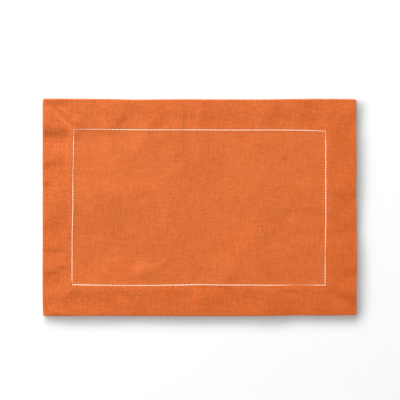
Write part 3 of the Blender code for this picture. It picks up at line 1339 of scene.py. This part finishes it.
class ShapeGraph(Graph):
    """A geometry tree with named inputs, run on a mesh of guide lines or guide points."""

    @classmethod
    def start(cls, name: str) -> "ShapeGraph":
        """Make an empty tree that takes a mesh and gives a mesh.

        Args:
            name: The tree's name.

        Returns:
            Its graph.
        """
        tree = bpy.data.node_groups.new(name, "GeometryNodeTree")
        tree.interface.new_socket("Guide", in_out="INPUT", socket_type="NodeSocketGeometry")
        tree.interface.new_socket("Mesh", in_out="OUTPUT", socket_type="NodeSocketGeometry")
        return cls(tree)

    def inputs(self, kinds: dict[str, InputKind]) -> dict[str, Wire]:
        """Give the tree its inputs.

        Args:
            kinds: The name and kind of each input.

        Returns:
            The wire from each input by name, with the guide's among them.
        """
        for name, kind in kinds.items():
            self.tree.interface.new_socket(name, in_out="INPUT", socket_type=kind.value)
        node = self.add("NodeGroupInput")
        return {name: Wire(self, node.outputs[name]) for name in ("Guide", *kinds)}

    def scatter(self, amount: Wire | float, seed: Wire) -> Wire:
        """Return a random number for each element, from minus to plus an amount.

        Args:
            amount: The largest number.
            seed: The seed.

        Returns:
            The numbers.
        """
        values = {RandomSocket.LOWEST.value: amount * -1.0, RandomSocket.HIGHEST.value: amount,
                  RandomSocket.SEED.value: seed}
        return self.wire("FunctionNodeRandomValue", None, values, RandomSocket.RESULT.value)

    def tube(self, curve: Wire, radius: Wire, sides: int) -> Wire:
        """Sweep a round thread along a curve."""
        ring = self.wire("GeometryNodeCurvePrimitiveCircle", None, {"Resolution": sides, "Radius": radius})
        return self.wire("GeometryNodeCurveToMesh", None, {"Curve": curve, "Profile Curve": ring})

    def close(self, mesh: Wire, finish: Wire) -> None:
        """End the tree in real, smooth and finished faces.

        Args:
            mesh: What the tree has made.
            finish: Its material.
        """
        soft = self.wire("GeometryNodeSetShadeSmooth", None, {"Geometry": mesh})
        real = self.wire("GeometryNodeRealizeInstances", None, {"Geometry": soft})
        dressed = self.wire("GeometryNodeSetMaterial", None, {"Geometry": real, "Material": finish})
        self.add("NodeGroupOutput", None, {"Mesh": dressed})

    def run(self, name: str, guide: bpy.types.Mesh, values: dict[str, object]) -> bpy.types.Object:
        """Run the tree and keep its result as a plain mesh.

        Args:
            name: The finished piece's name.
            guide: The guide lines or points.
            values: What each named input is set to.

        Returns:
            The finished piece, linked to the scene.
        """
        carrier = bpy.data.objects.new(name + "_guide", guide)
        bpy.context.scene.collection.objects.link(carrier)
        modifier = carrier.modifiers.new("tree", "NODES")
        modifier.node_group = self.tree
        for item in self.tree.interface.items_tree:
            if item.in_out == "INPUT" and item.name in values:
                modifier[item.identifier] = values[item.name]
        shown = carrier.evaluated_get(bpy.context.evaluated_depsgraph_get())
        mesh = bpy.data.meshes.new_from_object(shown)
        bpy.data.objects.remove(carrier)
        mesh.name = name
        made = bpy.data.objects.new(name, mesh)
        bpy.context.scene.collection.objects.link(made)
        return made


def guide_mesh(points: list[tuple[float, float, float]], edges: list[tuple[int, int]],
               numbers: dict[str, list[float]]) -> bpy.types.Mesh:
    """Make a mesh of guide points or lines.

    Args:
        points: The guide points.
        edges: Pairs of points that lines join.
        numbers: Named numbers, one for each point.

    Returns:
        The mesh.
    """
    mesh = bpy.data.meshes.new("guide")
    mesh.from_pydata(points, edges, [])
    for name, values in numbers.items():
        mesh.attributes.new(name, "FLOAT", "POINT").data.foreach_set("value", values)
    return mesh


# ---------------------------------------------------------------- the open row
ARCH_STEPS = 5  # straight stretches along the arch of one stitch
STITCH_INPUTS = {
    "Length": InputKind.NUMBER, "Height": InputKind.NUMBER, "Thread Radius": InputKind.NUMBER,
    "Seed": InputKind.COUNT, "Finish": InputKind.FINISH,
}


@dataclass(frozen=True)
class Rung:
    """One bar's place in the open row: its line from field to hem, and its heading outwards."""

    field_end: tuple[float, float, float]
    hem_end: tuple[float, float, float]
    heading: float

    def at(self, part: float) -> tuple[float, float, float]:
        """Return a point part of the way from the field's end to the hem's."""
        return tuple(a + (b - a) * part for a, b in zip(self.field_end, self.hem_end))


@dataclass
class OpenRow:
    """The drawn-thread row: bare threads tied into bars, between the field and the hem."""

    plan: MatPlan
    relief: Relief
    bar_pitch: float = 3.95 * MM
    anchor: float = 0.8 * MM
    unevenness: float = 0.10
    seed: int = 11
    strands: int = 6
    strand_pitch: float = 0.66 * MM
    strand_radius: float = 0.13 * MM
    bar_half_width: float = 0.34 * MM
    bar_half_height: float = 0.08 * MM
    strand_points: int = 7
    strand_sides: int = 4
    strand_scatter: float = 0.45
    # A bar is tied at its waist, as a share of its half length, and swells by a share in its middle.
    waist: float = 0.42
    belly_pinch: float = 2.2
    belly_swell: float = 0.35
    wrap_radius: float = 0.085 * MM
    wrap_points: int = 9
    wrap_place: float = 0.62 * MM
    bite_length: float = 1.5 * MM
    bite_height: float = 0.42 * MM
    # How far a loop's thread stands off the bar's sides and top, in its own radii.
    wrap_off_sides: float = 0.6
    wrap_off_top: float = 0.4
    wrap_sway: float = 0.35
    bite_sway: float = 0.28

    def rungs(self) -> list[Rung]:
        """Set out the bars on all four sides, slightly unevenly, as hand and machine both do.

        Returns:
            The bars, side by side round the mat.
        """
        spread = np.random.default_rng(self.seed)
        found = []
        for side in Side:
            upright = side in (Side.LEFT, Side.RIGHT)
            half_size = (self.plan.row_y if upright else self.plan.row_x) - self.plan.gap
            count = round(2 * half_size / self.bar_pitch)
            step = 2 * half_size / count
            places = -half_size + (np.arange(count) + 0.5) * step
            places = places + spread.uniform(-1, 1, count) * self.unevenness * step
            found += self._side_rungs(side, places, upright)
        return found

    def _side_rungs(self, side: Side, places: np.ndarray, upright: bool) -> list[Rung]:
        """Return one side's rungs, at these places along it.

        Args:
            side: The side.
            places: Places along it.
            upright: Whether it is one of the short sides.

        Returns:
            The rungs.
        """
        out = 1 if side in (Side.RIGHT, Side.TOP) else -1
        row = self.plan.row_x if upright else self.plan.row_y
        reach = self.plan.gap + self.anchor
        inner, outer = out * (row - reach) + 0 * places, out * (row + reach) + 0 * places
        near = (inner, places) if upright else (places, inner)
        far = (outer, places) if upright else (places, outer)
        near_place, far_place = self.plan.bend(*near), self.plan.bend(*far)
        near_height, far_height = self.relief.field(*near), self.relief.hem_face(*far)
        heading = {Side.RIGHT: 0.0, Side.TOP: 0.5, Side.LEFT: 1.0, Side.BOTTOM: 1.5}[side] * math.pi
        ends = zip(*near_place, near_height, *far_place, far_height)
        return [Rung((a, b, c), (d, e, f), heading) for a, b, c, d, e, f in ends]

    def build_bars(self, material: bpy.types.Material) -> bpy.types.Object:
        """Build the bars: each a bundle of the cloth's own bare threads.

        Args:
            material: The thread's finish.

        Returns:
            The bars' object.
        """
        points, edges = [], []
        for rung in self.rungs():
            edges.append((len(points), len(points) + 1))
            points += [rung.field_end, rung.hem_end]
        values = {"Strands": self.strands, "Strand Radius": self.strand_radius,
                  "Half Spread": self.strand_pitch * (self.strands - 1) / 2,
                  "Half Width": self.bar_half_width - self.strand_radius,
                  "Half Height": self.bar_half_height, "Seed": self.seed, "Finish": material}
        guide = guide_mesh(points, edges, {})
        return register(self._bar_tree().run("ladder_bars", guide, values))

    def _bar_tree(self) -> ShapeGraph:
        """Write the tree that turns each guide line into a tied bundle of threads.

        Returns:
            The tree.
        """
        graph = ShapeGraph.start("tied_bar")
        given = graph.inputs({"Strands": InputKind.COUNT, "Strand Radius": InputKind.NUMBER,
                              "Half Spread": InputKind.NUMBER, "Half Width": InputKind.NUMBER,
                              "Half Height": InputKind.NUMBER, "Seed": InputKind.COUNT,
                              "Finish": InputKind.FINISH})
        lines = graph.wire("GeometryNodeMeshToCurve", None, {"Mesh": given["Guide"]})
        fine = graph.wire("GeometryNodeResampleCurve", None, {"Curve": lines, "Count": self.strand_points})
        copies = graph.add("GeometryNodeDuplicateElements", {"domain": "SPLINE"},
                           {"Geometry": fine, "Amount": given["Strands"]})
        strand = Wire(graph, copies.outputs["Duplicate Index"])
        fan = strand / (given["Strands"] - 1.0) * 2.0 - 1.0
        run = abs(graph.wire("GeometryNodeSplineParameter") * 2.0 - 1.0)
        flare = ((run - self.waist) / (1 - self.waist)).at_least(0.0)
        belly = (1.0 - run * self.belly_pinch).at_least(0.0)
        half = given["Half Width"] * (1.0 + belly * self.belly_swell)
        aside = fan * (half + (given["Half Spread"] - half) * flare)
        stray = graph.scatter(given["Strand Radius"] * self.strand_scatter, given["Seed"])
        aside = aside + stray * (1.0 - flare)
        layer = (strand % 2.0 - 0.5) * 2.0 * given["Half Height"] * (1.0 - flare)
        tangent = graph.wire("GeometryNodeInputTangent")
        level = graph.wire("ShaderNodeVectorMath", {"operation": "CROSS_PRODUCT"},
                           {0: tangent, 1: (0.0, 0.0, 1.0)})
        sideways = graph.wire("ShaderNodeVectorMath", {"operation": "SCALE"}, {0: level, 3: aside})
        offset = graph.wire("ShaderNodeVectorMath", {"operation": "ADD"},
                            {0: sideways, 1: graph.join(0.0, 0.0, layer)})
        placed = graph.wire("GeometryNodeSetPosition", None,
                            {"Geometry": Wire(graph, copies.outputs["Geometry"]), "Offset": offset})
        graph.close(graph.tube(placed, given["Strand Radius"], self.strand_sides), given["Finish"])
        return graph

    def _ties(self) -> bpy.types.Mesh:
        """Return a guide point at both ends of each bar, with its heading into the cloth.

        Returns:
            The guide points.
        """
        points, headings = [], []
        for rung in self.rungs():
            length = math.dist(rung.field_end, rung.hem_end)
            part = (self.anchor + self.wrap_place) / length
            points += [rung.at(part), rung.at(1 - part)]
            headings += [rung.heading + math.pi, rung.heading]
        return guide_mesh(points, [], {"heading": headings})

    def build_wraps(self, material: bpy.types.Material) -> bpy.types.Object:
        """Build the loops of sewing thread that tie each bar at both its ends.

        Args:
            material: The sewing thread's finish.

        Returns:
            The loops' object.
        """
        graph = ShapeGraph.start("tie_loop")
        given = graph.inputs({"Half Width": InputKind.NUMBER, "Half Height": InputKind.NUMBER,
                              "Thread Radius": InputKind.NUMBER, "Seed": InputKind.COUNT,
                              "Finish": InputKind.FINISH})
        ring = graph.wire("GeometryNodeCurvePrimitiveCircle", None,
                          {"Resolution": self.wrap_points, "Radius": 1.0})
        size = graph.join(given["Half Height"], given["Half Width"], 1.0)
        upright = graph.wire("GeometryNodeTransform", None,
                             {"Geometry": ring, "Scale": size, "Rotation": (0.0, math.pi / 2, 0.0)})
        loop = graph.tube(upright, given["Thread Radius"], self.strand_sides)
        graph.close(on_points(graph, given, loop, self.wrap_sway), given["Finish"])
        half_height = self.bar_half_height + self.strand_radius + self.wrap_radius * self.wrap_off_top
        values = {"Half Width": self.bar_half_width + self.wrap_radius * self.wrap_off_sides,
                  "Half Height": half_height,
                  "Thread Radius": self.wrap_radius, "Seed": self.seed, "Finish": material}
        return register(graph.run("hemstitch_loops", self._ties(), values))

    def build_bites(self, material: bpy.types.Material) -> bpy.types.Object:
        """Build the short stitches that run from each tie into the edge of the cloth.

        Args:
            material: The sewing thread's finish.

        Returns:
            The stitches' object.
        """
        graph = ShapeGraph.start("edge_stitch")
        given = graph.inputs(STITCH_INPUTS)
        stitch = arch(graph, given, self.strand_sides, start=0.0)
        graph.close(on_points(graph, given, stitch, self.bite_sway), given["Finish"])
        values = {"Length": self.bite_length, "Height": self.bite_height,
                  "Thread Radius": self.wrap_radius, "Seed": self.seed + 1, "Finish": material}
        return register(graph.run("hemstitch_bites", self._ties(), values))


def arch(graph: ShapeGraph, given: dict[str, Wire], sides: int, start: float) -> Wire:
    """Make one stitch that lies along +X: up out of the cloth, over, and down into it.

    Args:
        graph: The tree that it is made in.
        given: The tree's inputs, with Length, Height and Thread Radius.
        sides: Sides of the thread.
        start: Where the stitch starts, as a share of its length.

    Returns:
        The stitch's mesh.
    """
    first = graph.join(given["Length"] * start, 0.0, 0.0)
    # The curve rises half as high as the point that it bends towards.
    crown = graph.join(given["Length"] * (start + 0.5), 0.0, given["Height"] * 2.0)
    last = graph.join(given["Length"] * (start + 1.0), 0.0, 0.0)
    curve = graph.wire("GeometryNodeCurveQuadraticBezier", None,
                       {"Resolution": ARCH_STEPS, "Start": first, "Middle": crown, "End": last})
    return graph.tube(curve, given["Thread Radius"], sides)


def on_points(graph: ShapeGraph, given: dict[str, Wire], shape: Wire, sway: float) -> Wire:
    """Put a shape on every guide point, turned to the point's heading.

    Args:
        graph: The tree that does it.
        given: The tree's inputs, with Guide and Seed.
        shape: The shape's mesh.
        sway: The most that one may turn from its heading, in radians.

    Returns:
        The shapes, as instances.
    """
    heading = graph.wire("GeometryNodeInputNamedAttribute", None, {"Name": "heading"})
    turn = heading + graph.scatter(sway, given["Seed"])
    rotation = graph.wire("FunctionNodeEulerToRotation", None, {0: graph.join(0.0, 0.0, turn)})
    return graph.wire("GeometryNodeInstanceOnPoints", None,
                      {"Points": given["Guide"], "Instance": shape, "Rotation": rotation})


# ---------------------------------------------------------------- the mitres' sewing
@dataclass
class MitreSewing:
    """The slip stitches that close the four mitres on the mat's back."""

    plan: MatPlan
    relief: Relief
    pitch: float = 3.2 * MM
    first: float = 3.0 * MM
    length: float = 1.3 * MM
    height: float = 0.10 * MM
    thread_radius: float = 0.085 * MM
    slant: float = 0.5
    seed: int = 5
    sides: int = 4
    sunk: float = 0.06 * MM
    sway: float = 0.2

    def build(self, material: bpy.types.Material) -> bpy.types.Object:
        """Build the stitches on all four mitres.

        Args:
            material: The sewing thread's finish.

        Returns:
            The stitches' object.
        """
        graph = ShapeGraph.start("slip_stitch")
        given = graph.inputs(STITCH_INPUTS)
        stitch = arch(graph, given, self.sides, start=-0.5)
        graph.close(on_points(graph, given, stitch, self.sway), given["Finish"])
        values = {"Length": self.length, "Height": -self.height, "Thread Radius": self.thread_radius,
                  "Seed": self.seed, "Finish": material}
        return register(graph.run("mitre_stitches", self._guide(), values))

    def _guide(self) -> bpy.types.Mesh:
        """Return a guide point for each stitch, on the drawn-in seams of the back.

        Returns:
            The guide points.
        """
        points, headings = [], []
        for x_side, y_side in CORNERS:
            past = np.arange(self.first, self.plan.hem - self.first, self.pitch)
            x, y = x_side * (self.plan.row_x + past), y_side * (self.plan.row_y + past)
            place_x, place_y = self.plan.bend(x, y)
            level = self.relief.clearance + self.relief.seam_groove_at(x, y) + self.sunk
            level = np.maximum(level, self.height + self.thread_radius)
            points += list(zip(place_x, place_y, level))
            across = math.atan2(y_side, x_side) + math.pi / 2 + self.slant
            headings += [across] * len(past)
        return guide_mesh(points, [], {"heading": headings})


# ---------------------------------------------------------------- studio
@dataclass(frozen=True)
class LowBand:
    """Low light that only the floor takes: from what height to what, in degrees, and its light."""

    lowest: float
    highest: float
    floor_light: float


@dataclass(frozen=True)
class LowQuarter:
    """A direction that the low light comes from, in degrees, and its share of that light."""

    stands_at: float
    share: float


@dataclass(frozen=True)
class ClothLight:
    """A broad soft light that only the cloth takes: where it stands, in degrees, and its light."""

    name: str
    stands_at: float
    rise: float
    light: float


@dataclass
class Studio:
    """The pale floor, the soft light from the upper left and the camera straight above."""

    cloth_pieces: list[bpy.types.Object]
    plan: MatPlan
    camera_x: float = 0.5 * MM
    camera_y: float = 11.3 * MM
    seen_width: float = 0.612
    lens: float = 100.0
    sensor: float = 36.0
    floor_size: float = 8.0
    floor_drop: float = 0.1 * MM
    floor_colour: tuple[float, float, float] = (0.86, 0.86, 0.86)
    surround: float = 0.22
    cloth_lights: tuple[ClothLight, ...] = (
        ClothLight("soft_key", 120.0, 20.0, 0.75),
        ClothLight("soft_fill", -50.0, 38.0, 0.03),
        ClothLight("low_fill", -65.0, 10.0, 0.045),
    )
    cloth_light_distance: float = 9.0
    cloth_light_size: float = 2.2
    panel_distance: float = 8.0
    panel_half_turn: float = 15.0
    # The shares and the bands' lights were adjusted from a separate program's fit to the shadow in
    # the photo.
    low_quarters: tuple[LowQuarter, ...] = (
        LowQuarter(75.0, 0.12),
        LowQuarter(105.0, 0.27),
        LowQuarter(135.0, 0.28),
        LowQuarter(165.0, 0.20),
        LowQuarter(195.0, 0.13),
    )
    low_bands: tuple[LowBand, ...] = (
        LowBand(4.0, 6.5, 0.255),
        LowBand(6.5, 11.0, 0.455),
        LowBand(11.0, 24.0, 0.135),
    )
    overhead_light: float = 0.05
    overhead_width: float = 60.0
    strip_half_width: float = 2.4 * MM
    strip_glow: tuple[float, float, float] = (0.94, 0.84, 0.65)
    strip_strength: float = 1.08

    def build(self) -> None:
        """Set up the whole studio."""
        floor = self._floor()
        strip = self._light_strip()
        floor_only = self._collection("floor_receives", [floor])
        cloth_only = self._collection("cloth_receives", self.cloth_pieces)
        for band in self.low_bands:
            for quarter in self.low_quarters:
                self._low_panel(band, quarter, floor_only)
        self._overhead(floor_only)
        for cloth_light in self.cloth_lights:
            self._cloth_light(cloth_light, cloth_only)
        self._surround()
        self._camera()

    def _collection(self, name: str, members: list[bpy.types.Object]) -> bpy.types.Collection:
        """Return a collection that a light is limited to.

        Args:
            name: The collection's name.
            members: What it holds.

        Returns:
            The collection.
        """
        made = bpy.data.collections.new(name)
        for member in members:
            made.objects.link(member)
        return made

    def _floor(self) -> bpy.types.Object:
        """Lay a plain pale floor just under the mat.

        Returns:
            The floor.
        """
        half = self.floor_size / 2
        points = [(x_side * half, y_side * half, -self.floor_drop) for x_side, y_side in CORNERS]
        return self._matt_piece("floor", "pale_floor", points, [(0, 1, 2, 3)], {})

    def _light_strip(self) -> bpy.types.Object:
        """Lay the strip of light table under the open row, which shows through its gaps.

        Returns:
            The strip.
        """
        reach = self.strip_half_width
        outer = (self.plan.row_x + reach, self.plan.row_y + reach)
        inner = (self.plan.row_x - reach, self.plan.row_y - reach)
        points = [(x_side * x, y_side * y, -self.floor_drop / 2)
                  for x, y in (outer, inner) for x_side, y_side in CORNERS]
        count = len(CORNERS)
        faces = [(n, (n + 1) % count, (n + 1) % count + count, n + count) for n in range(count)]
        glow = {"Emission Color": (*self.strip_glow, 1.0), "Emission Strength": self.strip_strength}
        return self._matt_piece("light_strip", "light_strip", points, faces, glow)

    def _matt_piece(self, name: str, finish: str, points: list[tuple[float, float, float]],
                    faces: list[tuple[int, ...]], glow: dict[str, object]) -> bpy.types.Object:
        """Make a matt piece of the studio in the floor's colour.

        Args:
            name: The piece's name.
            finish: Its material's name.
            points: Its corner points.
            faces: Its faces, as numbers of those points.
            glow: The surface's values beside its colour and gloss.

        Returns:
            The piece, linked to the scene.
        """
        mesh = bpy.data.meshes.new(name)
        mesh.from_pydata(points, [], faces)
        graph, material = FinishGraph.start(finish)
        graph.surface({"Base Color": (*self.floor_colour, 1.0), "Roughness": 1.0,
                       "Specular IOR Level": 0.0, **glow})
        mesh.materials.append(material)
        return self._link(bpy.data.objects.new(name, mesh))

    def _low_panel(self, band: LowBand, quarter: LowQuarter, receivers: bpy.types.Collection) -> None:
        """Add one low panel, taken only by these receivers.

        Args:
            band: Its heights and light.
            quarter: Its direction and share.
            receivers: What takes its light.
        """
        low, high = math.tan(math.radians(band.lowest)), math.tan(math.radians(band.highest))
        half_turn = math.radians(self.panel_half_turn)
        turned = half_turn + math.sin(half_turn) * math.cos(half_turn)
        floor_gain = (high * high - low * low) / 2 * turned
        light = bpy.data.lights.new("low_panel", "AREA")
        light.shape = "RECTANGLE"
        light.size = 2 * self.panel_distance * math.tan(half_turn)
        light.size_y = (high - low) * self.panel_distance
        radiance = band.floor_light * quarter.share * math.pi / self.floor_colour[0] / floor_gain
        light.energy = radiance * math.pi * light.size * light.size_y
        made = self._link(bpy.data.objects.new("low_panel", light))
        turn = math.radians(quarter.stands_at)
        made.location = (self.panel_distance * math.cos(turn), self.panel_distance * math.sin(turn),
                         (high + low) / 2 * self.panel_distance)
        made.rotation_euler = (math.pi / 2, 0.0, turn + math.pi / 2)
        made.light_linking.receiver_collection = receivers

    def _overhead(self, receivers: bpy.types.Collection) -> None:
        """Add the high soft light that keeps the shadow pale, taken only by these receivers.

        Args:
            receivers: What takes its light.
        """
        light = bpy.data.lights.new("overhead", "SUN")
        light.angle = math.radians(self.overhead_width)
        light.energy = self.overhead_light * math.pi / self.floor_colour[0]
        made = self._link(bpy.data.objects.new("overhead", light))
        made.light_linking.receiver_collection = receivers

    def _cloth_light(self, given: ClothLight, receivers: bpy.types.Collection) -> None:
        """Add one broad soft light, taken only by these receivers.

        Args:
            given: The light's place and strength.
            receivers: What takes its light.
        """
        rise, turn = math.radians(given.rise), math.radians(given.stands_at)
        light = bpy.data.lights.new(given.name, "AREA")
        light.shape = "DISK"
        light.size = self.cloth_light_size
        light.energy = given.light * (math.pi * self.cloth_light_distance) ** 2 / math.sin(rise)
        made = self._link(bpy.data.objects.new(given.name, light))
        level = self.cloth_light_distance * math.cos(rise)
        made.location = (level * math.cos(turn), level * math.sin(turn),
                         self.cloth_light_distance * math.sin(rise))
        made.rotation_euler = (math.pi / 2 - rise, 0.0, turn + math.pi / 2)
        made.light_linking.receiver_collection = receivers

    def _surround(self) -> None:
        """Add the even light of the room."""
        world = bpy.data.worlds.new("surround")
        world.use_nodes = True
        world.node_tree.nodes["Background"].inputs["Color"].default_value = (1.0, 1.0, 1.0, 1.0)
        world.node_tree.nodes["Background"].inputs["Strength"].default_value = self.surround
        bpy.context.scene.world = world

    def _camera(self) -> None:
        """Add the camera, straight above the mat, and make it the scene's."""
        lens = bpy.data.cameras.new("camera")
        lens.lens = self.lens
        lens.sensor_width = self.sensor
        made = self._link(bpy.data.objects.new("camera", lens))
        made.location = (self.camera_x, self.camera_y, self.seen_width * self.lens / self.sensor)
        bpy.context.scene.camera = made

    def _link(self, made: bpy.types.Object) -> bpy.types.Object:
        """Link an object to the scene and return it."""
        bpy.context.scene.collection.objects.link(made)
        return made


def main() -> None:
    """Build and dress the placemat, then its studio."""
    logging.basicConfig(level=logging.INFO, format="%(name)s: %(message)s")
    bpy.context.scene.view_settings.view_transform = "Standard"
    plan = MatPlan.from_solid()
    relief = Relief(plan)
    sheet = LinenCloth(plan, relief)
    cloth = sheet.build(LinenFinish(plan).material())
    row = OpenRow(plan, relief)
    sewing_material = SEWING_THREAD.material()
    trims = [
        row.build_bars(BARE_THREADS.material()),
        row.build_wraps(sewing_material),
        row.build_bites(sewing_material),
        MitreSewing(plan, relief).build(sewing_material),
    ]
    sheet.cut_size()
    sheet.cut_area()
    Studio([cloth, *trims], plan).build()


if __name__ == "__main__":
    main()
